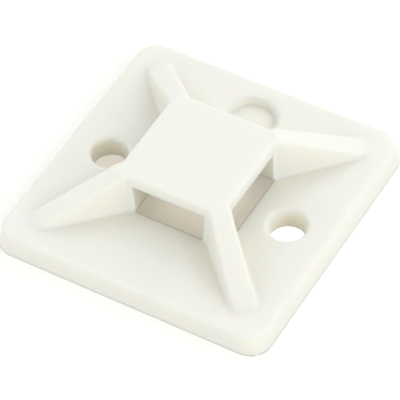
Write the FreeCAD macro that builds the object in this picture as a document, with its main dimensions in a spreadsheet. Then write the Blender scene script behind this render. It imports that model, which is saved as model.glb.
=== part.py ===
import FreeCAD, Part
import math
import os
import Sketcher

# Cable tie mount: a square moulded plate with a raised saddle in the middle.
# Four diagonal ribs run down from the saddle towards the plate's corners.
# Between the ribs, four slots lead under the saddle, so that a tie can pass
# either way. Frame: +Z up, origin at the middle of the underside, the plate's
# sides along X and Y. Millimetres and degrees.

# Driving sizes: name, value, what it measures
SIZES = [
    ("plate_side", 28.0, "plate across its underside"),
    ("plate_thick", 2.25, "plate thickness"),
    ("edge_inset", 0.28, "how far the sloping edge comes in on each side"),
    ("corner_radius", 2.05, "plate corners seen from above"),
    ("rim_round", 0.4, "rounding round the plate's upper edge"),
    ("mount_height", 6.6, "underside of the plate to the top of the saddle"),
    ("saddle_side", 11.04, "saddle across its top"),
    ("saddle_thick", 1.3, "thickness of the bridge over the tie"),
    ("saddle_draft", 2.0, "slope of the saddle's sides"),
    ("rib_width", 1.93, "top of a rib, across, where it leaves the saddle"),
    ("rib_draft", 2.2, "slope of a rib's flanks"),
    ("rib_setback", 2.95, "foot of a rib's ramp to the plate's corner"),
    ("crease_step", 0.48, "how far the flat top runs out onto a rib"),
    ("rib_tail", 0.5, "how far a rib runs on below the foot of its ramp"),
    ("slot_width_top", 7.43, "slot across, under the bridge"),
    ("slot_width_foot", 7.01, "slot across, at the plate's face"),
    ("window_draft", 3.0, "slope of the walls of the window in the plate"),
    ("screw_hole", 3.45, "screw hole diameter"),
    ("wedge_shift", 0.34, "screw holes and dish, in from the middle of their wedge"),
    ("screw_offset", 0.58, "how far the screw holes lie off the centre line"),
    ("hole_round", 0.45, "rounding of a screw hole's rim"),
    ("dish_margin", 1.524, "how much less than half its wedge's width the dish is"),
    ("dish_wall", 0.2, "how far the dish's wall comes in on its way down"),
    ("dish_depth", 0.8, "depth of the dish"),
    ("dish_round", 0.15, "rounding of the dish's rim"),
    ("bend_round", 2.0, "where the saddle's top turns into a rib's ramp"),
    ("inner_round", 0.7, "upright corner between saddle and rib"),
    ("foot_round", 0.4, "where ribs and saddle meet the plate"),
    ("top_round", 0.3, "upper edges of the saddle and ribs"),
    ("overshoot", 1.0, "how far a cut runs past what it cuts"),
]
VALUE = {name: value for name, value, note in SIZES}

document = FreeCAD.newDocument("tie_mount")
sheet = document.addObject("Spreadsheet::Sheet", "sizes")
for row, (name, value, note) in enumerate(SIZES, start=1):
    sheet.set("A%d" % row, note)
    sheet.set("B%d" % row, str(value))
    sheet.setAlias("B%d" % row, name)
document.recompute()

body = document.addObject("PartDesign::Body", "mount_body")
body.Label = "mount_body"

# Expressions that several features share
CORNER_REACH = ("((sizes.plate_side / 2 - sizes.corner_radius) * sqrt(2)"
                " + sizes.corner_radius)")
RIB_REACH = "(%s - sizes.rib_setback)" % CORNER_REACH
SADDLE_FOOT = ("(sizes.saddle_side + 2 * (sizes.mount_height - sizes.plate_thick)"
               " * tan(sizes.saddle_draft))")
WINDOW_FOOT = "%s + 2 * sizes.plate_thick * tan(sizes.window_draft)" % SADDLE_FOOT
# the screw holes and the dish lie between the saddle's foot and the plate's rim
WEDGE = ("((%s / 2 + sizes.plate_side / 2 - sizes.edge_inset) / 2 - sizes.wedge_shift)"
         % SADDLE_FOOT)
DISH_RADIUS = ("((sizes.plate_side / 2 - sizes.edge_inset - %s / 2) / 2 - sizes.dish_margin)"
               % SADDLE_FOOT)
BRIDGE_UNDER = "(sizes.mount_height - sizes.saddle_thick)"
# the ribs cut the saddle's corners off along this distance from the middle
CREASE = "(sizes.saddle_side / sqrt(2) - sizes.rib_width / 2 + sizes.crease_step)"
SADDLE_RISE = VALUE["mount_height"] - VALUE["plate_thick"]
SADDLE_SPREAD = SADDLE_RISE * math.tan(math.radians(VALUE["saddle_draft"]))
WEDGE_FROM = VALUE["saddle_side"] / 2 + SADDLE_SPREAD
WEDGE_TO = VALUE["plate_side"] / 2 - VALUE["edge_inset"]
WEDGE_MIDDLE = (WEDGE_FROM + WEDGE_TO) / 2 - VALUE["wedge_shift"]
UP = FreeCAD.Vector(0, 0, 1)
DIAGONAL_ANGLE = 45.0
# the mount has four like quarters, each with this many upper and lower edges
QUARTERS = 4
UPPER_EDGES = 9
FOOT_EDGES = 7
# how near two places or directions are when they count as the same
FINE = 1e-3


def origin_feature(role):
    """One of the body's own planes or axes, by its role."""
    return next(item for item in body.Origin.OriginFeatures if item.Role == role)


def new_sketch(name, role="XY_Plane", height=None, turn=None):
    """A sketch on one of the body's planes, raised or turned if asked."""
    sketch = body.newObject("Sketcher::SketchObject", name)
    sketch.AttachmentSupport = [(origin_feature(role), "")]
    sketch.MapMode = "FlatFace"
    if turn is not None:
        axis, angle = turn
        sketch.AttachmentOffset = FreeCAD.Placement(
            FreeCAD.Vector(), FreeCAD.Rotation(axis, angle))
    if height is not None:
        sketch.setExpression("AttachmentOffset.Base.z", height)
    return sketch


def bind(sketch, **expressions):
    """Ties a sketch's named constraints to the sheet."""
    for name, expression in expressions.items():
        sketch.setExpression("Constraints." + name, expression)


def polygon(sketch, corners):
    """A closed outline of straight lines; returns the first line's number."""
    points = [FreeCAD.Vector(x, y, 0) for x, y in corners]
    first = sketch.GeometryCount
    count = len(points)
    for index in range(count):
        line = Part.LineSegment(points[index], points[(index + 1) % count])
        sketch.addGeometry(line, False)
    for index in range(count):
        sketch.addConstraint(Sketcher.Constraint(
            "Coincident", first + index, 2, first + (index + 1) % count, 1))
    return first


def add_size(sketch, name, kind, *where):
    """A named dimension in a sketch."""
    number = sketch.addConstraint(Sketcher.Constraint(kind, *where))
    sketch.renameConstraint(number, name)


def rectangle(sketch, length, width):
    """A rectangle round the sketch's origin, with its sizes bound."""
    half_x, half_y = 5.0, 3.0
    first = polygon(sketch, [(-half_x, -half_y), (half_x, -half_y),
                             (half_x, half_y), (-half_x, half_y)])
    for line in (first, first + 2):
        sketch.addConstraint(Sketcher.Constraint("Horizontal", line))
    for line in (first + 1, first + 3):
        sketch.addConstraint(Sketcher.Constraint("Vertical", line))
    sketch.addConstraint(Sketcher.Constraint("Symmetric", first, 1, first + 1, 2, -1, 1))
    add_size(sketch, "length", "DistanceX", first, 1, first, 2, 2 * half_x)
    add_size(sketch, "width", "DistanceY", first + 1, 1, first + 1, 2, 2 * half_y)
    bind(sketch, length=length, width=width)


def rib_outline(sketch):
    """A rib seen from above, from the middle of the mount out to its tail."""
    reach, half = 15.0, 1.0
    first = polygon(sketch, [(0, -half), (reach, -half), (reach, half), (0, half)])
    for line in (first, first + 2):
        sketch.addConstraint(Sketcher.Constraint("Horizontal", line))
    for line in (first + 1, first + 3):
        sketch.addConstraint(Sketcher.Constraint("Vertical", line))
    sketch.addConstraint(Sketcher.Constraint("Symmetric", first + 3, 1, first + 3, 2, -1, 1))
    add_size(sketch, "length", "DistanceX", first, 1, first, 2, reach)
    add_size(sketch, "width", "DistanceY", first + 1, 1, first + 1, 2, 2 * half)
    bind(sketch, length=RIB_REACH + " + sizes.rib_tail", width="sizes.rib_width")


def ramp_profile(sketch):
    """What is cut from a rib, seen from its side: all above its ramp."""
    start, foot, low, high, far = 6.0, 15.0, 1.5, 6.0, 18.0
    first = polygon(sketch, [(start, high), (start, high - 0.5), (foot, low),
                             (far, low), (far, high)])
    sketch.addConstraint(Sketcher.Constraint("Vertical", first))
    sketch.addConstraint(Sketcher.Constraint("Horizontal", first + 2))
    sketch.addConstraint(Sketcher.Constraint("Vertical", first + 3))
    sketch.addConstraint(Sketcher.Constraint("Horizontal", first + 4))
    add_size(sketch, "crease", "DistanceX", -1, 1, first, 2, start)
    add_size(sketch, "top", "DistanceY", -1, 1, first, 2, high - 0.5)
    add_size(sketch, "foot", "DistanceX", -1, 1, first + 1, 2, foot)
    add_size(sketch, "plate", "DistanceY", -1, 1, first + 1, 2, low)
    add_size(sketch, "above", "DistanceY", first, 2, first, 1, 0.5)
    add_size(sketch, "beyond", "DistanceX", first + 2, 1, first + 2, 2, far - foot)
    bind(sketch, crease=CREASE, top="sizes.mount_height", foot=RIB_REACH,
         plate="sizes.plate_thick", above="sizes.overshoot",
         beyond="sizes.rib_tail + sizes.overshoot")


def trapezium(sketch, low_width, high_width, low, high):
    """An upright trapezium, symmetric about the sketch's upright axis."""
    half_low, half_high, bottom, top = 3.4, 3.6, 1.5, 4.3
    first = polygon(sketch, [(-half_low, bottom), (half_low, bottom),
                             (half_high, top), (-half_high, top)])
    sketch.addConstraint(Sketcher.Constraint("Symmetric", first, 1, first, 2, -2))
    sketch.addConstraint(Sketcher.Constraint("Symmetric", first + 2, 1, first + 2, 2, -2))
    add_size(sketch, "low_width", "DistanceX", first, 1, first, 2, 2 * half_low)
    add_size(sketch, "high_width", "DistanceX", first + 2, 2, first + 2, 1, 2 * half_high)
    add_size(sketch, "low", "DistanceY", -1, 1, first, 1, bottom)
    add_size(sketch, "high", "DistanceY", -1, 1, first + 2, 1, top)
    bind(sketch, low_width=low_width, high_width=high_width, low=low, high=high)


def hole_pair(sketch):
    """Two equal circles, off the centre line by the screw offset."""
    place, off, radius = 9.1, 0.55, 1.7
    for side in (-1, 1):
        circle = Part.Circle(FreeCAD.Vector(side * place, -off, 0), UP, radius)
        sketch.addGeometry(circle, False)
    sketch.addConstraint(Sketcher.Constraint("Equal", 0, 1))
    sketch.addConstraint(Sketcher.Constraint("Symmetric", 0, 3, 1, 3, -2))
    add_size(sketch, "spacing", "DistanceX", 0, 3, 1, 3, 2 * place)
    add_size(sketch, "offset", "DistanceY", 0, 3, -1, 1, off)
    add_size(sketch, "diameter", "Diameter", 0, 2 * radius)
    bind(sketch, spacing="2 * " + WEDGE, offset="sizes.screw_offset",
         diameter="sizes.screw_hole")


def dish_profile(sketch):
    """Half the dish's section: flat floor, then a slope up to the rim."""
    floor, rim, low, high, over = 1.3, 2.5, 0.9, 1.5, 2.5
    first = polygon(sketch, [(0, low), (floor, low), (rim, high), (rim, over), (0, over)])
    sketch.addConstraint(Sketcher.Constraint("Horizontal", first))
    sketch.addConstraint(Sketcher.Constraint("Vertical", first + 2))
    sketch.addConstraint(Sketcher.Constraint("Horizontal", first + 3))
    sketch.addConstraint(Sketcher.Constraint("PointOnObject", first, 1, -2))
    sketch.addConstraint(Sketcher.Constraint("PointOnObject", first + 3, 2, -2))
    add_size(sketch, "floor", "DistanceX", first, 1, first, 2, floor)
    add_size(sketch, "rim", "DistanceX", -1, 1, first + 1, 2, rim)
    add_size(sketch, "plate", "DistanceY", -1, 1, first + 1, 2, high)
    add_size(sketch, "depth", "DistanceY", first, 2, first + 1, 2, high - low)
    add_size(sketch, "above", "DistanceY", first + 2, 1, first + 2, 2, over - high)
    bind(sketch, floor=DISH_RADIUS + " - sizes.dish_wall", rim=DISH_RADIUS,
         plate="sizes.plate_thick", depth="sizes.dish_depth", above="sizes.overshoot")


def check_count(name, found, expected):
    """Stops the build when a feature would take more or fewer places than it has."""
    if found != expected:
        raise RuntimeError("%s found %d places, not %d" % (name, found, expected))


def edges_where(feature, wanted):
    """Names of the feature's edges for which wanted(edge) is true."""
    edges = enumerate(feature.Shape.Edges, start=1)
    return ["Edge%d" % number for number, edge in edges
            if not edge.Degenerated and wanted(edge)]


def round_edges(name, base, radius, wanted, expected):
    """Fillets the wanted edges of the last feature and makes it the tip."""
    document.recompute()
    names = edges_where(base, wanted)
    check_count(name, len(names), expected)
    fillet = body.newObject("PartDesign::Fillet", name)
    fillet.Base = (base, names)
    fillet.setExpression("Radius", radius)
    body.Tip = fillet
    document.recompute()
    return fillet


def slope_faces(name, base, angle, neutral, wanted, expected):
    """Drafts the wanted faces of the last feature away from a neutral plane."""
    document.recompute()
    faces = enumerate(base.Shape.Faces, start=1)
    names = ["Face%d" % number for number, face in faces if wanted(face)]
    check_count(name, len(names), expected)
    draft = body.newObject("PartDesign::Draft", name)
    draft.Base = (base, names)
    draft.NeutralPlane = neutral
    draft.setExpression("Angle", angle)
    body.Tip = draft
    document.recompute()
    return draft


def repeat(name, feature, count, angle):
    """The feature repeated round the upright axis."""
    document.recompute()
    pattern = body.newObject("PartDesign::PolarPattern", name)
    pattern.Originals = [feature]
    pattern.Axis = (origin_feature("Z_Axis"), [""])
    pattern.Angle = angle
    pattern.Occurrences = count
    body.Tip = pattern
    document.recompute()
    return pattern


def four_times(name, feature):
    """The feature on all four sides or corners."""
    return repeat(name, feature, 4, 360)


def crosswise(name, feature):
    """The feature and its like, a right angle further round."""
    return repeat(name, feature, 2, 90)


def top_of(feature):
    """The flat top of the saddle, as a face of the feature."""
    faces = feature.Shape.Faces
    highest = max(range(len(faces)), key=lambda index: faces[index].CenterOfMass.z)
    return (feature, ["Face%d" % (highest + 1)])


def pocket(name, sketch, length):
    """A cut to both sides of its sketch, of this length in all."""
    document.recompute()
    cut = body.newObject("PartDesign::Pocket", name)
    cut.Profile = sketch
    cut.Type = "Length"
    cut.setExpression("Length", length)
    cut.Midplane = True
    body.Tip = cut
    document.recompute()
    return cut


def report(stage):
    document.recompute()
    shape = body.Tip.Shape
    print(stage, "volume", round(shape.Volume, 3), "valid", shape.isValid())


def facing(face):
    return face.normalAt(0, 0)


def stands_upright(face):
    return abs(facing(face).z) < FINE


def is_saddle_side(face):
    """An upright face of the saddle, square to X or Y and above the plate."""
    normal = facing(face)
    squarely = min(abs(normal.x), abs(normal.y)) < FINE
    return stands_upright(face) and squarely and face.CenterOfMass.z > VALUE["plate_thick"]


def is_rib_side(face):
    """An upright flank of a rib, as near to the diagonal as half its width."""
    normal = facing(face)
    across = abs(normal.x * face.CenterOfMass.x + normal.y * face.CenterOfMass.y)
    slanting = abs(abs(normal.x) - abs(normal.y)) < FINE
    return stands_upright(face) and slanting and across < VALUE["rib_width"]


def is_at_height(edge, height):
    """True for an edge that is level, this far above the underside."""
    box = edge.BoundBox
    return abs(box.ZMin - height) < FINE and abs(box.ZMax - height) < FINE


def is_plate_corner(edge):
    """A slanting edge that runs from the underside to the plate's upper face."""
    box = edge.BoundBox
    return abs(box.ZLength - VALUE["plate_thick"]) < FINE


def is_plate_rim(edge):
    return is_at_height(edge, VALUE["plate_thick"])


def is_steep(edge):
    """True for an edge that rises more than twice as far as it runs."""
    box = edge.BoundBox
    return max(box.XLength, box.YLength) < box.ZLength / 2


def is_inner_corner(edge):
    """The steep edge where a side of the saddle meets a rib's flank."""
    centre = edge.BoundBox.Center
    return is_steep(edge) and math.hypot(centre.x, centre.y) < VALUE["saddle_side"]


def is_on_diagonal(edge):
    """True for an edge across a rib, with its middle on the diagonal."""
    middle = edge.valueAt((edge.FirstParameter + edge.LastParameter) / 2)
    return abs(abs(middle.x) - abs(middle.y)) < FINE


def is_bend(edge):
    """The line across a rib where the saddle's flat top turns into the ramp."""
    return is_at_height(edge, VALUE["mount_height"]) and is_on_diagonal(edge)


def is_upper_edge(edge):
    """An edge along the top of the saddle or of a rib, down to the ramp's foot."""
    high = edge.BoundBox.ZMax > VALUE["mount_height"] - VALUE["bend_round"] / 4
    return high and not is_steep(edge) and not is_on_diagonal(edge)


def is_foot(edge):
    """An edge where the saddle or a rib's flank stands on the plate."""
    box = edge.BoundBox
    inside = VALUE["plate_side"] / 2 - VALUE["edge_inset"] - 2 * VALUE["rim_round"]
    reach = max(abs(box.XMin), abs(box.XMax), abs(box.YMin), abs(box.YMax))
    on_plate = is_at_height(edge, VALUE["plate_thick"]) and reach < inside
    return on_plate and not is_on_diagonal(edge)


def is_rim_round(edge, x, y):
    """True for a circle in the plate's upper face, round this point."""
    if not isinstance(edge.Curve, Part.Circle):
        return False
    centre = FreeCAD.Vector(x, y, VALUE["plate_thick"])
    return (edge.Curve.Center - centre).Length < FINE


def is_hole_rim(edge):
    return (is_rim_round(edge, WEDGE_MIDDLE, -VALUE["screw_offset"])
            or is_rim_round(edge, -WEDGE_MIDDLE, -VALUE["screw_offset"]))


def is_dish_rim(edge):
    return is_rim_round(edge, 0, WEDGE_MIDDLE)


# Base plate: its sides slope in from the underside to the upper face
plate_sketch = new_sketch("plate_outline")
rectangle(plate_sketch, "sizes.plate_side", "sizes.plate_side")
plate = body.newObject("PartDesign::Pad", "plate")
plate.Profile = plate_sketch
plate.setExpression("Length", "sizes.plate_thick")
body.Tip = plate
plate_slopes = slope_faces("plate_slopes", plate, "atan(sizes.edge_inset / sizes.plate_thick)",
                           origin_feature("XY_Plane"), stands_upright, 4)
corners = round_edges("plate_corners", plate_slopes, "sizes.corner_radius",
                      is_plate_corner, 4)
rim = round_edges("plate_rim", corners, "sizes.rim_round", is_plate_rim, 8)
report("plate")

# Saddle block, full height
saddle_sketch = new_sketch("saddle_outline")
rectangle(saddle_sketch, "sizes.saddle_side", "sizes.saddle_side")
saddle = body.newObject("PartDesign::Pad", "saddle")
saddle.Profile = saddle_sketch
saddle.setExpression("Length", "sizes.mount_height")
body.Tip = saddle
report("saddle")

# Four ribs, first at full height, on the diagonals
rib_sketch = new_sketch("rib_outline", turn=(UP, DIAGONAL_ANGLE))
rib_outline(rib_sketch)
rib = body.newObject("PartDesign::Pad", "rib")
rib.Profile = rib_sketch
rib.setExpression("Length", "sizes.mount_height")
body.Tip = rib
ribs = four_times("ribs", rib)
report("ribs")

# Sides of the saddle and flanks of the ribs slope, from their true size at the top
saddle_slopes = slope_faces("saddle_slopes", ribs, "sizes.saddle_draft", top_of(ribs),
                            is_saddle_side, 4)
rib_slopes = slope_faces("rib_slopes", saddle_slopes, "sizes.rib_draft",
                         top_of(saddle_slopes), is_rib_side, 8)
inner = round_edges("inner_corners", rib_slopes, "sizes.inner_round", is_inner_corner, 8)
report("inner corners")

# A ramp brings the top of each rib down to the plate
ramp_sketch = new_sketch("ramp_profile", role="XZ_Plane",
                         turn=(FreeCAD.Vector(0, 1, 0), DIAGONAL_ANGLE))
ramp_profile(ramp_sketch)
ramp = body.newObject("PartDesign::Pocket", "ramp")
ramp.Profile = ramp_sketch
ramp.Type = "Length"
ramp.setExpression("Length", "2 * sizes.rib_width + 2 * sizes.overshoot")
ramp.Midplane = True
body.Tip = ramp
ramps = four_times("ramps", ramp)
report("ramps")

# Soft edges: the bend from the saddle's top into a ramp, the upper edges, the feet
bends = round_edges("ramp_bends", ramps, "sizes.bend_round", is_bend, 4)
tops = round_edges("upper_edges", bends, "sizes.top_round", is_upper_edge,
                   QUARTERS * UPPER_EDGES)
feet = round_edges("feet", tops, "sizes.foot_round", is_foot, QUARTERS * FOOT_EDGES)
report("soft edges")

# Tie slots: two channels that cross under the bridge
slot_sketch = new_sketch("slot_profile", role="YZ_Plane")
trapezium(slot_sketch, "sizes.slot_width_foot", "sizes.slot_width_top",
          "sizes.plate_thick", BRIDGE_UNDER)
slot = pocket("slot", slot_sketch, SADDLE_FOOT + " + 2 * (sizes.foot_round + sizes.overshoot)")
slots = crosswise("slots", slot)
report("slots")

# Window: a square opening through the plate under the whole saddle, where the
# core of the mould came through. It opens out downwards. The saddle's corners
# end over it and are held by the ribs.
window_sketch = new_sketch("window_outline")
rectangle(window_sketch, WINDOW_FOOT, WINDOW_FOOT)
window = body.newObject("PartDesign::Pocket", "window")
window.Profile = window_sketch
window.Type = "Length"
window.setExpression("Length", "sizes.plate_thick")
window.setExpression("TaperAngle", "-sizes.window_draft")
window.Reversed = True
body.Tip = window
report("window")

# Screw holes, one in each of two opposite wedges
hole_sketch = new_sketch("screw_holes_outline")
hole_pair(hole_sketch)
holes = body.newObject("PartDesign::Pocket", "screw_holes")
holes.Profile = hole_sketch
holes.Type = "Length"
holes.setExpression("Length", "sizes.plate_thick + sizes.overshoot")
holes.Reversed = True
body.Tip = holes
report("screw holes")
hole_rims = round_edges("hole_rims", holes, "sizes.hole_round", is_hole_rim, 2)

# Shallow dish in the wedge behind the saddle
dish_sketch = new_sketch("dish_profile", role="YZ_Plane")
dish_sketch.setExpression("AttachmentOffset.Base.x", WEDGE)
dish_profile(dish_sketch)
dish = body.newObject("PartDesign::Groove", "dish")
dish.Profile = dish_sketch
dish.ReferenceAxis = (dish_sketch, ["V_Axis"])
dish.Angle = 360
body.Tip = dish
report("dish")
dish_rim = round_edges("dish_rim", dish, "sizes.dish_round", is_dish_rim, 1)
report("finished")

# Checks, then the STEP file
failed = [item.Name for item in document.Objects
          if "Invalid" in item.State or "Error" in item.State]
if failed:
    raise RuntimeError("failed features: " + ", ".join(failed))
os.makedirs("parts", exist_ok=True)
shape = body.Shape
if shape.isNull() or not shape.isValid() or len(shape.Solids) != 1:
    raise RuntimeError(body.Label + " is not one valid solid")
shape.exportStep("parts/" + body.Label + ".step")
box = shape.optimalBoundingBox(False)
print(body.Label, "volume", round(shape.Volume, 2), "size",
      [round(length, 3) for length in (box.XLength, box.YLength, box.ZLength)])
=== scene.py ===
# %% [markdown]
# A cable tie mount in natural nylon
#
# The object is one small moulding, 28 mm square: a plate, a raised saddle
# that is slotted both ways for a cable tie, four ribs, two screw holes and a
# shallow dish. The CAD model already has its true form. This script gives
# it the soft edges and the satin, slightly translucent plastic of the real
# one, a floor, studio light and a camera.

# %% Load the frame
import math

import bmesh
import bpy
from mathutils import Matrix, Vector


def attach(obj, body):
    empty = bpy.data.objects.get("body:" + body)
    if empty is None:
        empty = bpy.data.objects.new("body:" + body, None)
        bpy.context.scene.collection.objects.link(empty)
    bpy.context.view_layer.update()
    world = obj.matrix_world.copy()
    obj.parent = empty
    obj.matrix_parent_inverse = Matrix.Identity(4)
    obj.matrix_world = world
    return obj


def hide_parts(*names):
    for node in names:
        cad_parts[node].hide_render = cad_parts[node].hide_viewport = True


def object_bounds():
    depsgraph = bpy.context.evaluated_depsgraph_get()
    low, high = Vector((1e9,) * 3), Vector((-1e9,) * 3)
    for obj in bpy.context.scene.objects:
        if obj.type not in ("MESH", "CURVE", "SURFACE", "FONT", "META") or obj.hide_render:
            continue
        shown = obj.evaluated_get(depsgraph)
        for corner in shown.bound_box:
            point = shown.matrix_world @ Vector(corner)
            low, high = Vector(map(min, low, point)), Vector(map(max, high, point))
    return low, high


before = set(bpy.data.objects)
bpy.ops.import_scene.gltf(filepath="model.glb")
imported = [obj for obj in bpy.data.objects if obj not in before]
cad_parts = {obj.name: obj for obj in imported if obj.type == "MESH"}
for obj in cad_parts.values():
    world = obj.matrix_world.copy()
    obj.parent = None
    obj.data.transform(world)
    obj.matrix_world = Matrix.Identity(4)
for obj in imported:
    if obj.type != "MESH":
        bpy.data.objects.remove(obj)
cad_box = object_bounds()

print("nodes:", list(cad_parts))

# %% [markdown]
# Units and colours
#
# Everything is in metres, so sizes read best as millimetres times MM. A
# colour could be typed in as three shares of light, but the hex values that
# an image editor shows are easier to compare with a photograph. One function
# turns them into the linear values that Blender's sockets take.

# %% Units and colours
MM = 0.001


def linear(hex_colour):
    """An sRGB hex colour as linear red, green, blue and alpha."""
    channels = [int(hex_colour[i:i + 2], 16) / 255 for i in (1, 3, 5)]
    return [c / 12.92 if c <= 0.04045 else ((c + 0.055) / 1.055) ** 2.4 for c in channels] + [1.0]


def in_mm(box):
    """The two corners of a box in millimetres, for printing."""
    return [[round(c / MM, 2) for c in corner] for corner in box]


print("CAD box, mm:", in_mm(cad_box))

# %% [markdown]
# The moulding's skin
#
# A moulding has no truly sharp edge: the steel that it was formed in has a
# small radius at each edge, and nylon shrinks a little as it cools. The CAD
# model has the large radii. The small ones, at the mouths of the slots and
# round the underside, are added here. A Bevel modifier is the usual way. It
# needs clean faces, so the CAD model's loose triangles are first copied into
# a mesh of their own, merged, and joined into large flat faces again.

# %% Copy and clean the CAD mesh
MERGE_WITHIN = 0.0005 * MM
FLAT_WITHIN = math.radians(0.2)

skin_mesh = bpy.data.meshes.new("moulded_skin")
work = bmesh.new()
work.from_mesh(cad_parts["mount_body"].data)
bmesh.ops.remove_doubles(work, verts=work.verts, dist=MERGE_WITHIN)
bmesh.ops.dissolve_limit(work, angle_limit=FLAT_WITHIN, verts=work.verts,
                         edges=work.edges, use_dissolve_boundaries=False)
work.to_mesh(skin_mesh)
print("merged skin:", len(work.verts), "points,", len(work.faces), "faces")
work.free()
skin = bpy.data.objects.new("moulded_mount", skin_mesh)
bpy.context.collection.objects.link(skin)

# %% [markdown]
# Soft edges
#
# Only edges that turn by more than 40 degrees get a radius, because the CAD
# fillets are strips that turn by less from one to the next. The rounded mesh
# is kept as the skin's own, so that what follows works on a plain mesh.

# %% Round the small edges
EDGE_RADIUS = 0.12 * MM
EDGE_STRIPS = 3
SHARP_FROM = math.radians(40)

bevel = skin.modifiers.new("small_radii", "BEVEL")
bevel.width = EDGE_RADIUS
bevel.segments = EDGE_STRIPS
bevel.limit_method = "ANGLE"
bevel.angle_limit = SHARP_FROM
bevel.miter_outer = "MITER_ARC"
bevel.use_clamp_overlap = True
evaluated = skin.evaluated_get(bpy.context.evaluated_depsgraph_get())
rounded = bpy.data.meshes.new_from_object(evaluated)
skin.modifiers.clear()
skin.data = rounded
print("rounded skin:", len(rounded.vertices), "points,", len(rounded.polygons), "faces")

# %% [markdown]
# Flat faces stay flat
#
# Smooth shading blends each face into the next. On a moulding it should do
# so in the rounded strips and nowhere else. More strips would help, at the
# price of a heavy mesh. Weighted normals do it without: each point takes its
# direction mostly from the largest face that it touches, so the bending of
# the light happens in the strips.

# %% Smooth shading
LARGE_FACE_WEIGHT = 80

for face in rounded.polygons:
    face.use_smooth = True
weighted = skin.modifiers.new("flat_faces_stay_flat", "WEIGHTED_NORMAL")
weighted.mode = "FACE_AREA"
weighted.weight = LARGE_FACE_WEIGHT
print("smooth faces:", sum(face.use_smooth for face in rounded.polygons))

# %% [markdown]
# Functions for shader nodes
#
# A finish is a network of nodes: each one makes or changes a value, and links
# carry the values on. It could be drawn by hand in the shader editor. In a
# script, one function that adds a node, sets its properties and fills its
# inputs keeps each node to one statement. Some nodes have two inputs of one
# name, and those are given by their number.

# %% Functions for shader nodes
def empty_tree(owner):
    """The node tree of a material or a world, with no node in it."""
    owner.use_nodes = True
    owner.node_tree.nodes.clear()
    return owner.node_tree


def add_node(tree, kind, settings=None, numbered=None, **named):
    """Adds a node, sets its properties, and sets or links its inputs."""
    node = tree.nodes.new(kind)
    for name, value in (settings or {}).items():
        setattr(node, name, value)
    inputs = {name.replace("_", " "): value for name, value in named.items()}
    inputs.update(numbered or {})
    for key, value in inputs.items():
        socket = node.inputs[key]
        if isinstance(value, bpy.types.NodeSocket):
            tree.links.new(value, socket)
        else:
            socket.default_value = value
    return node


# %% [markdown]
# Natural nylon 66, injection moulded, satin
#
# Undyed nylon is a warm off-white and copies the fine grit of spark-eroded
# steel: a soft, broad highlight with no mirror image in it. Its tint and its
# gloss drift a little from place to place. A picture of the plastic could be
# wrapped round the mount, but noise that is worked out from the position
# needs no wrapping and shows no seam. One noise, as broad as clouds, gives
# the drift, and a fine one the grit. Real grit is about 0.05 mm. That is
# finer than a pixel here, so it is drawn at 0.25 mm.

# %% Nylon: tint, gloss and grit
NYLON_LIGHT = linear("#F7F4E8")
NYLON_DEEP = linear("#F3F0E2")
CLOUD_SIZE = 7 * MM
GRIT_SIZE = 0.25 * MM
ROUGHNESS_LEAST, ROUGHNESS_MOST = 0.42, 0.52

nylon = bpy.data.materials.new("natural_nylon_66_satin")
nylon_tree = empty_tree(nylon)
place = add_node(nylon_tree, "ShaderNodeTexCoord").outputs["Object"]
clouds = add_node(nylon_tree, "ShaderNodeTexNoise", Vector=place,
                  Scale=1 / CLOUD_SIZE, Detail=2.0, Roughness=0.5)
grit = add_node(nylon_tree, "ShaderNodeTexNoise", Vector=place,
                Scale=1 / GRIT_SIZE, Detail=2.0, Roughness=0.6)
tint = add_node(nylon_tree, "ShaderNodeMix", {"data_type": "RGBA"},
                {0: clouds.outputs["Fac"], 6: NYLON_LIGHT, 7: NYLON_DEEP})
gloss = add_node(nylon_tree, "ShaderNodeMapRange", Value=clouds.outputs["Fac"],
                 To_Min=ROUGHNESS_LEAST, To_Max=ROUGHNESS_MOST)
print("tint drifts over", CLOUD_SIZE / MM, "mm, grit is", GRIT_SIZE / MM, "mm")

# %% [markdown]
# Softer edges at the ribs' ends and round the dish
#
# On the real mount the ends of the ribs run out softly into the plate, and so
# does the rim of the dish. The mesh could be rounded there, but a radius that
# grows along an edge needs many more faces. A Bevel node turns the shading
# near an edge instead and leaves the surface where it is. Its radius is small
# in general and grows near those places. The ribs' ends lie equally far out
# on both axes, so the absolute value of the position folds all four onto one.

# %% Nylon: how soft each edge is
PLATE_HALF = cad_box[1][0]
JUST_ABOVE_PLATE = 2.5 * MM
SOFT_RADIUS = 0.35 * MM
RIB_END_FROM_EDGE = 2.5 * MM
RIB_END_OUT = PLATE_HALF - RIB_END_FROM_EDGE
RIB_END = (RIB_END_OUT, RIB_END_OUT, JUST_ABOVE_PLATE)
RIB_END_CORE = 0.8 * MM
RIB_END_REACH = 2.2 * MM
RIB_END_RADIUS = 1.3 * MM
DISH_BEHIND = 9.356 * MM
DISH_MIDDLE = (0.0, DISH_BEHIND, JUST_ABOVE_PLATE)
DISH_CORE = 2.7 * MM
DISH_REACH = 3.5 * MM
DISH_RADIUS = 0.9 * MM
EDGE_SAMPLES = 8

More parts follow.
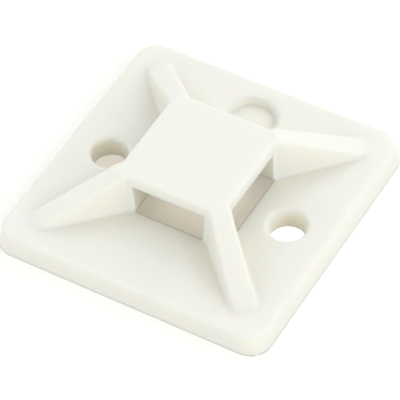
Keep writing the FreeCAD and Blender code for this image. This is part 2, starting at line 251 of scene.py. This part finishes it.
folded = add_node(nylon_tree, "ShaderNodeVectorMath", {"operation": "ABSOLUTE"}, {0: place})
from_rib_end = add_node(nylon_tree, "ShaderNodeVectorMath", {"operation": "DISTANCE"},
                        {0: folded.outputs[0], 1: RIB_END})
from_dish = add_node(nylon_tree, "ShaderNodeVectorMath", {"operation": "DISTANCE"},
                     {0: place, 1: DISH_MIDDLE})
radii = []
for away, core, reach, largest in (
        (from_rib_end, RIB_END_CORE, RIB_END_REACH, RIB_END_RADIUS),
        (from_dish, DISH_CORE, DISH_REACH, DISH_RADIUS)):
    radius = add_node(nylon_tree, "ShaderNodeMapRange", {"interpolation_type": "SMOOTHSTEP"},
                      Value=away.outputs["Value"], From_Min=core, From_Max=reach,
                      To_Min=largest, To_Max=SOFT_RADIUS)
    radii.append(radius.outputs["Result"])
wider = add_node(nylon_tree, "ShaderNodeMath", {"operation": "MAXIMUM"},
                 {0: radii[0], 1: radii[1]})
softened = add_node(nylon_tree, "ShaderNodeBevel", {"samples": EDGE_SAMPLES},
                    Radius=wider.outputs[0])
print("edge radius, mm:", SOFT_RADIUS / MM, "to", RIB_END_RADIUS / MM)

# %% [markdown]
# Painted shade beside the ribs
#
# Beside each rib, over about 3 mm, the plate in the photograph is darker and
# warmer than its shade alone makes it. That extra shade is painted into the
# nylon's colour. The painted shade could be drawn on by hand. An Ambient
# Occlusion node finds the place by itself: it measures how closed in each spot
# is, and a darker, warmer nylon is mixed in by that much, as painted shade.
# Only faces that look up take it, and the dish keeps its plain colour.

# %% Nylon: painted shade beside the ribs
# Painted shade: a darker, warmer nylon, mixed in where the plate is closed in beside the ribs.
PAINTED_SHADE_NYLON = linear("#E0D6C0")
SHADE_REACH = 3 * MM
SHADE_SAMPLES = 8
STEEP_Z, LEVEL_Z = 0.7, 0.9

openness = add_node(nylon_tree, "ShaderNodeAmbientOcclusion",
                    {"samples": SHADE_SAMPLES, "only_local": True}, Distance=SHADE_REACH)
closed_in = add_node(nylon_tree, "ShaderNodeMath", {"operation": "SUBTRACT"},
                     {0: 1.0, 1: openness.outputs["AO"]})
off_dish = add_node(nylon_tree, "ShaderNodeMath", {"operation": "GREATER_THAN"},
                    {0: from_dish.outputs["Value"], 1: DISH_CORE})
beside = add_node(nylon_tree, "ShaderNodeMath", {"operation": "MULTIPLY"},
                  {0: closed_in.outputs[0], 1: off_dish.outputs[0]})
facing = add_node(nylon_tree, "ShaderNodeNewGeometry")
facing_axes = add_node(nylon_tree, "ShaderNodeSeparateXYZ", Vector=facing.outputs["Normal"])
level = add_node(nylon_tree, "ShaderNodeMapRange", Value=facing_axes.outputs["Z"],
                 From_Min=STEEP_Z, From_Max=LEVEL_Z)
shade = add_node(nylon_tree, "ShaderNodeMath", {"operation": "MULTIPLY"},
                 {0: beside.outputs[0], 1: level.outputs["Result"]})
# The nylon's own tint with the painted shade mixed in.
nylon_colour_with_painted_shade = add_node(nylon_tree, "ShaderNodeMix", {"data_type": "RGBA"},
                        {0: shade.outputs[0], 6: tint.outputs[2], 7: PAINTED_SHADE_NYLON})
print("shade reaches", SHADE_REACH / MM, "mm from a rib")

# %% [markdown]
# The nylon's shader
#
# Light goes a little way into nylon and comes out beside where it went in,
# red farthest. That lightens thin edges and fills the shade inside the slots.
# A brighter colour would look flat, so the shader scatters light below the
# surface. Nylon's refractive index is 1.53. The grit is a bump of the
# shading only, on top of the softened edges.

# %% Nylon: the shader
NYLON_IOR = 1.53
SCATTERED_SHARE = 0.6
SCATTER_DEPTH = 1.0 * MM
DEPTH_BY_COLOUR = (1.0, 0.75, 0.45)
GRIT_HEIGHT = 0.01 * MM
GRIT_STRENGTH = 0.12

relief = add_node(nylon_tree, "ShaderNodeBump", Strength=GRIT_STRENGTH, Distance=GRIT_HEIGHT,
                  Height=grit.outputs["Fac"], Normal=softened.outputs["Normal"])
shader = add_node(nylon_tree, "ShaderNodeBsdfPrincipled",
                  Base_Color=nylon_colour_with_painted_shade.outputs[2], Roughness=gloss.outputs["Result"],
                  Normal=relief.outputs["Normal"], IOR=NYLON_IOR,
                  Subsurface_Weight=SCATTERED_SHARE, Subsurface_Scale=SCATTER_DEPTH,
                  Subsurface_Radius=DEPTH_BY_COLOUR)
add_node(nylon_tree, "ShaderNodeOutputMaterial", Surface=shader.outputs["BSDF"])
skin.data.materials.clear()
skin.data.materials.append(nylon)
print("material:", nylon.name, "with", len(nylon_tree.nodes), "nodes")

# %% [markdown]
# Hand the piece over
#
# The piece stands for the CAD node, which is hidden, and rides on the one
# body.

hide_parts("mount_body")
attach(skin, "root")
print("handed over:", skin.name)

# %% [markdown]
# Floor
#
# The mount lies on a sheet of paper, as small parts do when they are
# photographed. The sheet could be curved up behind it, but from this far
# above only its flat part is seen, and a plane of four points is enough. It
# is much larger than the mount, so that its edges stay out of the picture,
# and a hair below the underside, because two faces in one place flicker.

# %% Floor: the sheet
FLOOR_HALF = 600 * MM
FLOOR_GAP = 0.01 * MM

corners = [(x * FLOOR_HALF, y * FLOOR_HALF, 0) for x, y in ((-1, -1), (1, -1), (1, 1), (-1, 1))]
floor_mesh = bpy.data.meshes.new("floor")
floor_mesh.from_pydata(corners, [], [(0, 1, 2, 3)])
floor = bpy.data.objects.new("floor", floor_mesh)
floor.location.z = -FLOOR_GAP
bpy.context.collection.objects.link(floor)
print("floor:", FLOOR_HALF * 2, "m square")

# %% [markdown]
# Matt white paper
#
# The photograph's ground is plain white round the mount and inside the right
# screw hole, where it was cut away, and beige in the left hole and under the
# saddle, where it lies in shade. Two sheets could be laid one on the other.
# One sheet with two colours is simpler: where the mount covers it, the paper
# is painted darker and warmer, as painted shade. The mount is square, so the
# larger of the two distances from the middle, along X and along Y, says
# whether a spot is covered.

# %% Paper: colour, open and with painted shade where covered
OPEN_PAPER = linear("#F6F2E9")
# Painted shade: the paper under the mount is darker and warmer than in the open.
PAINTED_SHADE_PAPER = linear("#EDE2CC")
COVERED_FROM_EDGE = 0.5 * MM
COVERED_HALF = PLATE_HALF - COVERED_FROM_EDGE

paper = bpy.data.materials.new("matt_white_paper")
paper_tree = empty_tree(paper)
paper_place = add_node(paper_tree, "ShaderNodeTexCoord").outputs["Object"]
sides = add_node(paper_tree, "ShaderNodeVectorMath", {"operation": "ABSOLUTE"}, {0: paper_place})
side_axes = add_node(paper_tree, "ShaderNodeSeparateXYZ", Vector=sides.outputs[0])
farther = add_node(paper_tree, "ShaderNodeMath", {"operation": "MAXIMUM"},
                   {0: side_axes.outputs["X"], 1: side_axes.outputs["Y"]})
covered = add_node(paper_tree, "ShaderNodeMath", {"operation": "LESS_THAN"},
                   {0: farther.outputs[0], 1: COVERED_HALF})
paper_colour_with_painted_shade = add_node(paper_tree, "ShaderNodeMix", {"data_type": "RGBA"},
                        {0: covered.outputs[0], 6: OPEN_PAPER, 7: PAINTED_SHADE_PAPER})
print("covered paper:", round(2 * COVERED_HALF / MM, 2), "mm square")

# %% [markdown]
# The paper's own light
#
# To the eye of the camera the paper gives off a little light of its own, so
# that it reads as white while the mount's shadow on it stays. A brighter
# lamp would do that too, but would burn out the mount. Under the mount this
# glow is painted light and painted shade. It changes along X, from the left
# screw hole to the right one: least under the saddle, more under the left
# screw hole and most under the right one. A colour ramp holds its strength at
# a few places as shares of the brightest.

# %% Paper: how much it glows
OPEN_GLOW = 0.2
BRIGHTEST = 1.3
# Painted light and painted shade on the covered paper: glow strength by place along X.
GLOW_AT_X = (
    (-7.6 * MM, 0.30),
    (-5.8 * MM, 0.14),
    (2.5 * MM, 0.14),
    (5.8 * MM, 0.27),
    (7.4 * MM, BRIGHTEST),
)


def grey(share):
    """A grey of this share of white, for a socket that takes a colour."""
    return (share, share, share, 1.0)


axes = add_node(paper_tree, "ShaderNodeSeparateXYZ", Vector=paper_place)
across = add_node(paper_tree, "ShaderNodeMapRange", Value=axes.outputs["X"],
                  From_Min=-COVERED_HALF, From_Max=COVERED_HALF)
painted_glow_under_mount = add_node(paper_tree, "ShaderNodeValToRGB", Fac=across.outputs["Result"])
stops = painted_glow_under_mount.color_ramp.elements
while len(stops) < len(GLOW_AT_X):
    stops.new(1.0)
for stop, (x, strength) in zip(stops, GLOW_AT_X):
    stop.position = (x + COVERED_HALF) / (2 * COVERED_HALF)
    stop.color = grey(strength / BRIGHTEST)
glow_share = add_node(paper_tree, "ShaderNodeMix", {"data_type": "RGBA"},
                      {0: covered.outputs[0], 6: grey(OPEN_GLOW / BRIGHTEST),
                       7: painted_glow_under_mount.outputs["Color"]})
print("glow stops:", [round(stop.position, 3) for stop in stops])

# %% [markdown]
# Light for the eye only
#
# The paper's own light must not fall on the mount, or it would lose its
# shades. A Light Path node says what kind of ray is looking: rays from the
# camera, from a gloss and through a clear surface are the ones that make the
# picture of the paper. The world behind uses the same function.

# %% Which rays see the glow
def seen_rays(tree):
    """One for a ray from the camera, from a gloss or through a clear surface, nought for others."""
    ray = add_node(tree, "ShaderNodeLightPath")
    seen = ray.outputs["Is Camera Ray"]
    for other in ("Is Glossy Ray", "Is Transmission Ray"):
        either = add_node(tree, "ShaderNodeMath", {"operation": "MAXIMUM"},
                          {0: seen, 1: ray.outputs[other]})
        seen = either.outputs[0]
    return seen


matt = add_node(paper_tree, "ShaderNodeBsdfDiffuse", Color=paper_colour_with_painted_shade.outputs[2])
glow = add_node(paper_tree, "ShaderNodeEmission", Color=glow_share.outputs[2], Strength=BRIGHTEST)
lit = add_node(paper_tree, "ShaderNodeAddShader",
               numbered={0: matt.outputs[0], 1: glow.outputs[0]})
sheet = add_node(paper_tree, "ShaderNodeMixShader",
                 numbered={0: seen_rays(paper_tree), 1: matt.outputs[0], 2: lit.outputs[0]})
print("paper glows up to", BRIGHTEST)

# %% [markdown]
# Clear from below
#
# The underside lies on the floor, and a view from below would see only paper.
# The floor could be hidden for that view. Instead its back is clear, and so
# it is for light that leaves the underside, which meets the floor within a
# tenth of a millimetre: then the underside is both seen and lit.

# %% Paper: clear from below
TOUCH = 0.1 * MM

clear = add_node(paper_tree, "ShaderNodeBsdfTransparent")
side = add_node(paper_tree, "ShaderNodeNewGeometry")
looking = add_node(paper_tree, "ShaderNodeLightPath")
touching = add_node(paper_tree, "ShaderNodeMath", {"operation": "LESS_THAN"},
                    {0: looking.outputs["Ray Length"], 1: TOUCH})
see_through = add_node(paper_tree, "ShaderNodeMath", {"operation": "MAXIMUM"},
                       {0: side.outputs["Backfacing"], 1: touching.outputs[0]})
one_way = add_node(paper_tree, "ShaderNodeMixShader",
                   numbered={0: see_through.outputs[0], 1: sheet.outputs[0],
                             2: clear.outputs[0]})
add_node(paper_tree, "ShaderNodeOutputMaterial", Surface=one_way.outputs[0])
floor_mesh.materials.append(paper)
print("material:", paper.name, "with", len(paper_tree.nodes), "nodes")

# %% [markdown]
# The light tent's roof
#
# The photograph was taken in even light from all sides, as in a light tent.
# Its roof could be one more lamp, but a pale world costs less time and leaves
# no hard edge. It is a little cool, as daylight is, and seen from the camera
# it is plain white.

# %% World
FILL = 0.52
FILL_COLOUR = linear("#F7F9FF")
WHITE = linear("#FFFFFF")

world = bpy.data.worlds.new("studio")
bpy.context.scene.world = world
world_tree = empty_tree(world)
fill = add_node(world_tree, "ShaderNodeBackground", Color=FILL_COLOUR, Strength=FILL)
white = add_node(world_tree, "ShaderNodeBackground", Color=WHITE, Strength=1.0)
surround = add_node(world_tree, "ShaderNodeMixShader",
                    numbered={0: seen_rays(world_tree), 1: fill.outputs[0], 2: white.outputs[0]})
add_node(world_tree, "ShaderNodeOutputWorld", Surface=surround.outputs[0])
print("world: fill of strength", FILL)

# %% [markdown]
# The light tent's sides
#
# The tent is brightest on the right: the side of the mount that faces right
# is the lightest, and the plate left of each rib is the darkest. Four
# softboxes stand for the sides of the tent. They could be balanced by eye.
# Here each was rendered alone, and the strengths started from those whose sum
# comes nearest to the shades in the photograph. Their light is a little cool
# and the nylon warm, so lit faces look almost white, and shade that is lit
# from one face to another grows warmer each time.

# %% Lamps
LAMP_COLOUR = linear("#F0F7FF")
LAMP_DISTANCE = 450 * MM
LAMP_SIDE = 300 * MM


def towards(azimuth, elevation):
    """The direction of a place seen from the object, azimuth 0 at the front and 90 at the right."""
    turn = math.radians(azimuth)
    lift = math.radians(elevation)
    return Vector((math.sin(turn) * math.cos(lift), -math.cos(turn) * math.cos(lift),
                   math.sin(lift)))


def softbox(name, azimuth, elevation, watts):
    """A square area lamp that faces the object from this direction."""
    data = bpy.data.lights.new(name, "AREA")
    data.shape = "SQUARE"
    data.size = LAMP_SIDE
    data.energy = watts
    data.color = LAMP_COLOUR[:3]
    lamp = bpy.data.objects.new(name, data)
    direction = towards(azimuth, elevation)
    lamp.location = direction * LAMP_DISTANCE
    lamp.rotation_euler = direction.to_track_quat("Z", "Y").to_euler()
    bpy.context.collection.objects.link(lamp)
    return lamp


lamps = [
    softbox("right_softbox", azimuth=90, elevation=35, watts=0.82),
    softbox("back_softbox", azimuth=180, elevation=35, watts=0.60),
    softbox("left_softbox", azimuth=270, elevation=35, watts=0.52),
    softbox("front_softbox", azimuth=0, elevation=12, watts=0.60),
]
print("lamps:", [lamp.name for lamp in lamps])

# %% [markdown]
# Camera
#
# A long lens from well above, turned a few degrees about its own axis, as
# in the photograph. It could be placed by eye. Here its direction, its scale
# in pixels and its shift from the middle of the picture were worked out from
# the plate's whole outline, the corners of the saddle and the place of the
# holes, and the lens and the distance follow from them.

# %% Camera
AZIMUTH, ELEVATION, ROLL = 32.61, 48.62, -3.36
IMAGE_SIDE = 400
FOCAL_PIXELS = 2991.0
PIXELS_PER_MM = 10.897
SHIFT_RIGHT, SHIFT_UP = 1.6, 0.15
SENSOR = 36.0
NEAREST_SEEN = 10 * MM

back = towards(AZIMUTH, ELEVATION)
level_right = towards(AZIMUTH + 90, 0)
level_up = back.cross(level_right)
roll = math.radians(ROLL)
camera_right = level_right * math.cos(roll) + level_up * math.sin(roll)
camera_up = level_up * math.cos(roll) - level_right * math.sin(roll)
pixel = MM / PIXELS_PER_MM
spot = (back * FOCAL_PIXELS - camera_right * SHIFT_RIGHT + camera_up * SHIFT_UP) * pixel

camera_data = bpy.data.cameras.new("camera")
camera_data.sensor_width = SENSOR
camera_data.lens = FOCAL_PIXELS * SENSOR / IMAGE_SIDE
camera_data.clip_start = NEAREST_SEEN
camera = bpy.data.objects.new("camera", camera_data)
camera_turn = Matrix((camera_right, camera_up, back)).transposed().to_4x4()
camera.matrix_world = Matrix.Translation(spot) @ camera_turn
bpy.context.collection.objects.link(camera)
bpy.context.scene.camera = camera
bpy.context.scene.view_settings.view_transform = "Standard"
print("camera at", [round(c, 4) for c in spot], "lens", round(camera_data.lens, 1))
